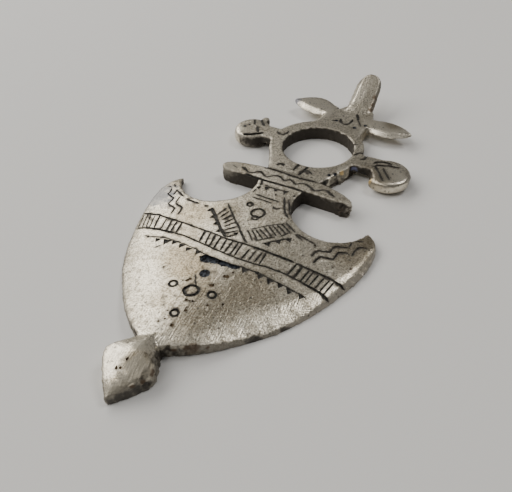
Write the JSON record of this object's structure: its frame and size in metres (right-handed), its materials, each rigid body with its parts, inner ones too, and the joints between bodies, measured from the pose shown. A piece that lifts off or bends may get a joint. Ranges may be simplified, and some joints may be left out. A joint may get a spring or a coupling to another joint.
{
  "type": "tuareg pendant",
  "caption": "Cast silver pendant in one piece: engraved shield blade with crescent cuts, crossbar, ring with round lobes, a crown of leaves and a faceted bud.",
  "frame": {"origin": "centre of the ring's hole in the plane of the flat back that the pendant lies on", "axes": "+Z along the hole's axis, up from the back through the engraved face; +Y from the hole towards the middle leaf of the crown; the blade and the bud towards -Y"},
  "size_m": [0.0345, 0.0735, 0.0063],
  "materials": {
    "silver": "cast silver, filed by hand, darkened in the engraving and the hollows"
  },
  "bodies": {
    "root": {"pendant": "silver"}
  },
  "joints": []
}
